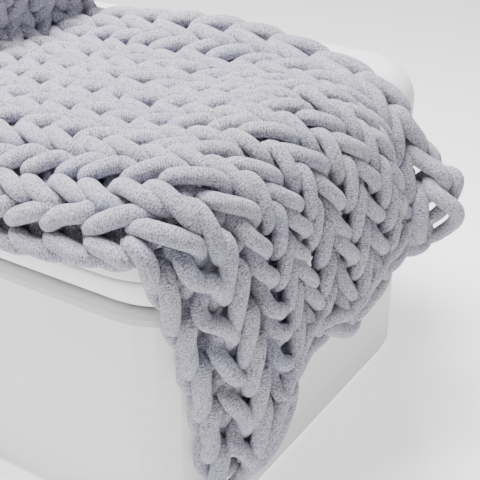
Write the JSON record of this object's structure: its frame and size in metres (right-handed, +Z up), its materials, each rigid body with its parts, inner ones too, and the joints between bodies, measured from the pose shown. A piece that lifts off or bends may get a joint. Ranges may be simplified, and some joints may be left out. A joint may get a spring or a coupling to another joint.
{
  "type": "knitted blanket on bed",
  "caption": "Chunky hand-knitted blanket with chain edges, lying skewed over the end of a small plain bed.",
  "frame": {"origin": "centre of the bed base's underside, on the floor", "axes": "+Z up, +X to the bed's end that the blanket hangs over, +Y away from the side where its front edge rolls over"},
  "size_m": [1.145, 0.8069, 0.7211],
  "materials": {
    "blanket": "matte velvet pile",
    "mattress": "matte cotton",
    "bed_base": "satin white paint"
  },
  "bodies": {
    "root": {"blanket": "blanket", "mattress": "mattress", "bed_base": "bed_base"}
  },
  "joints": []
}
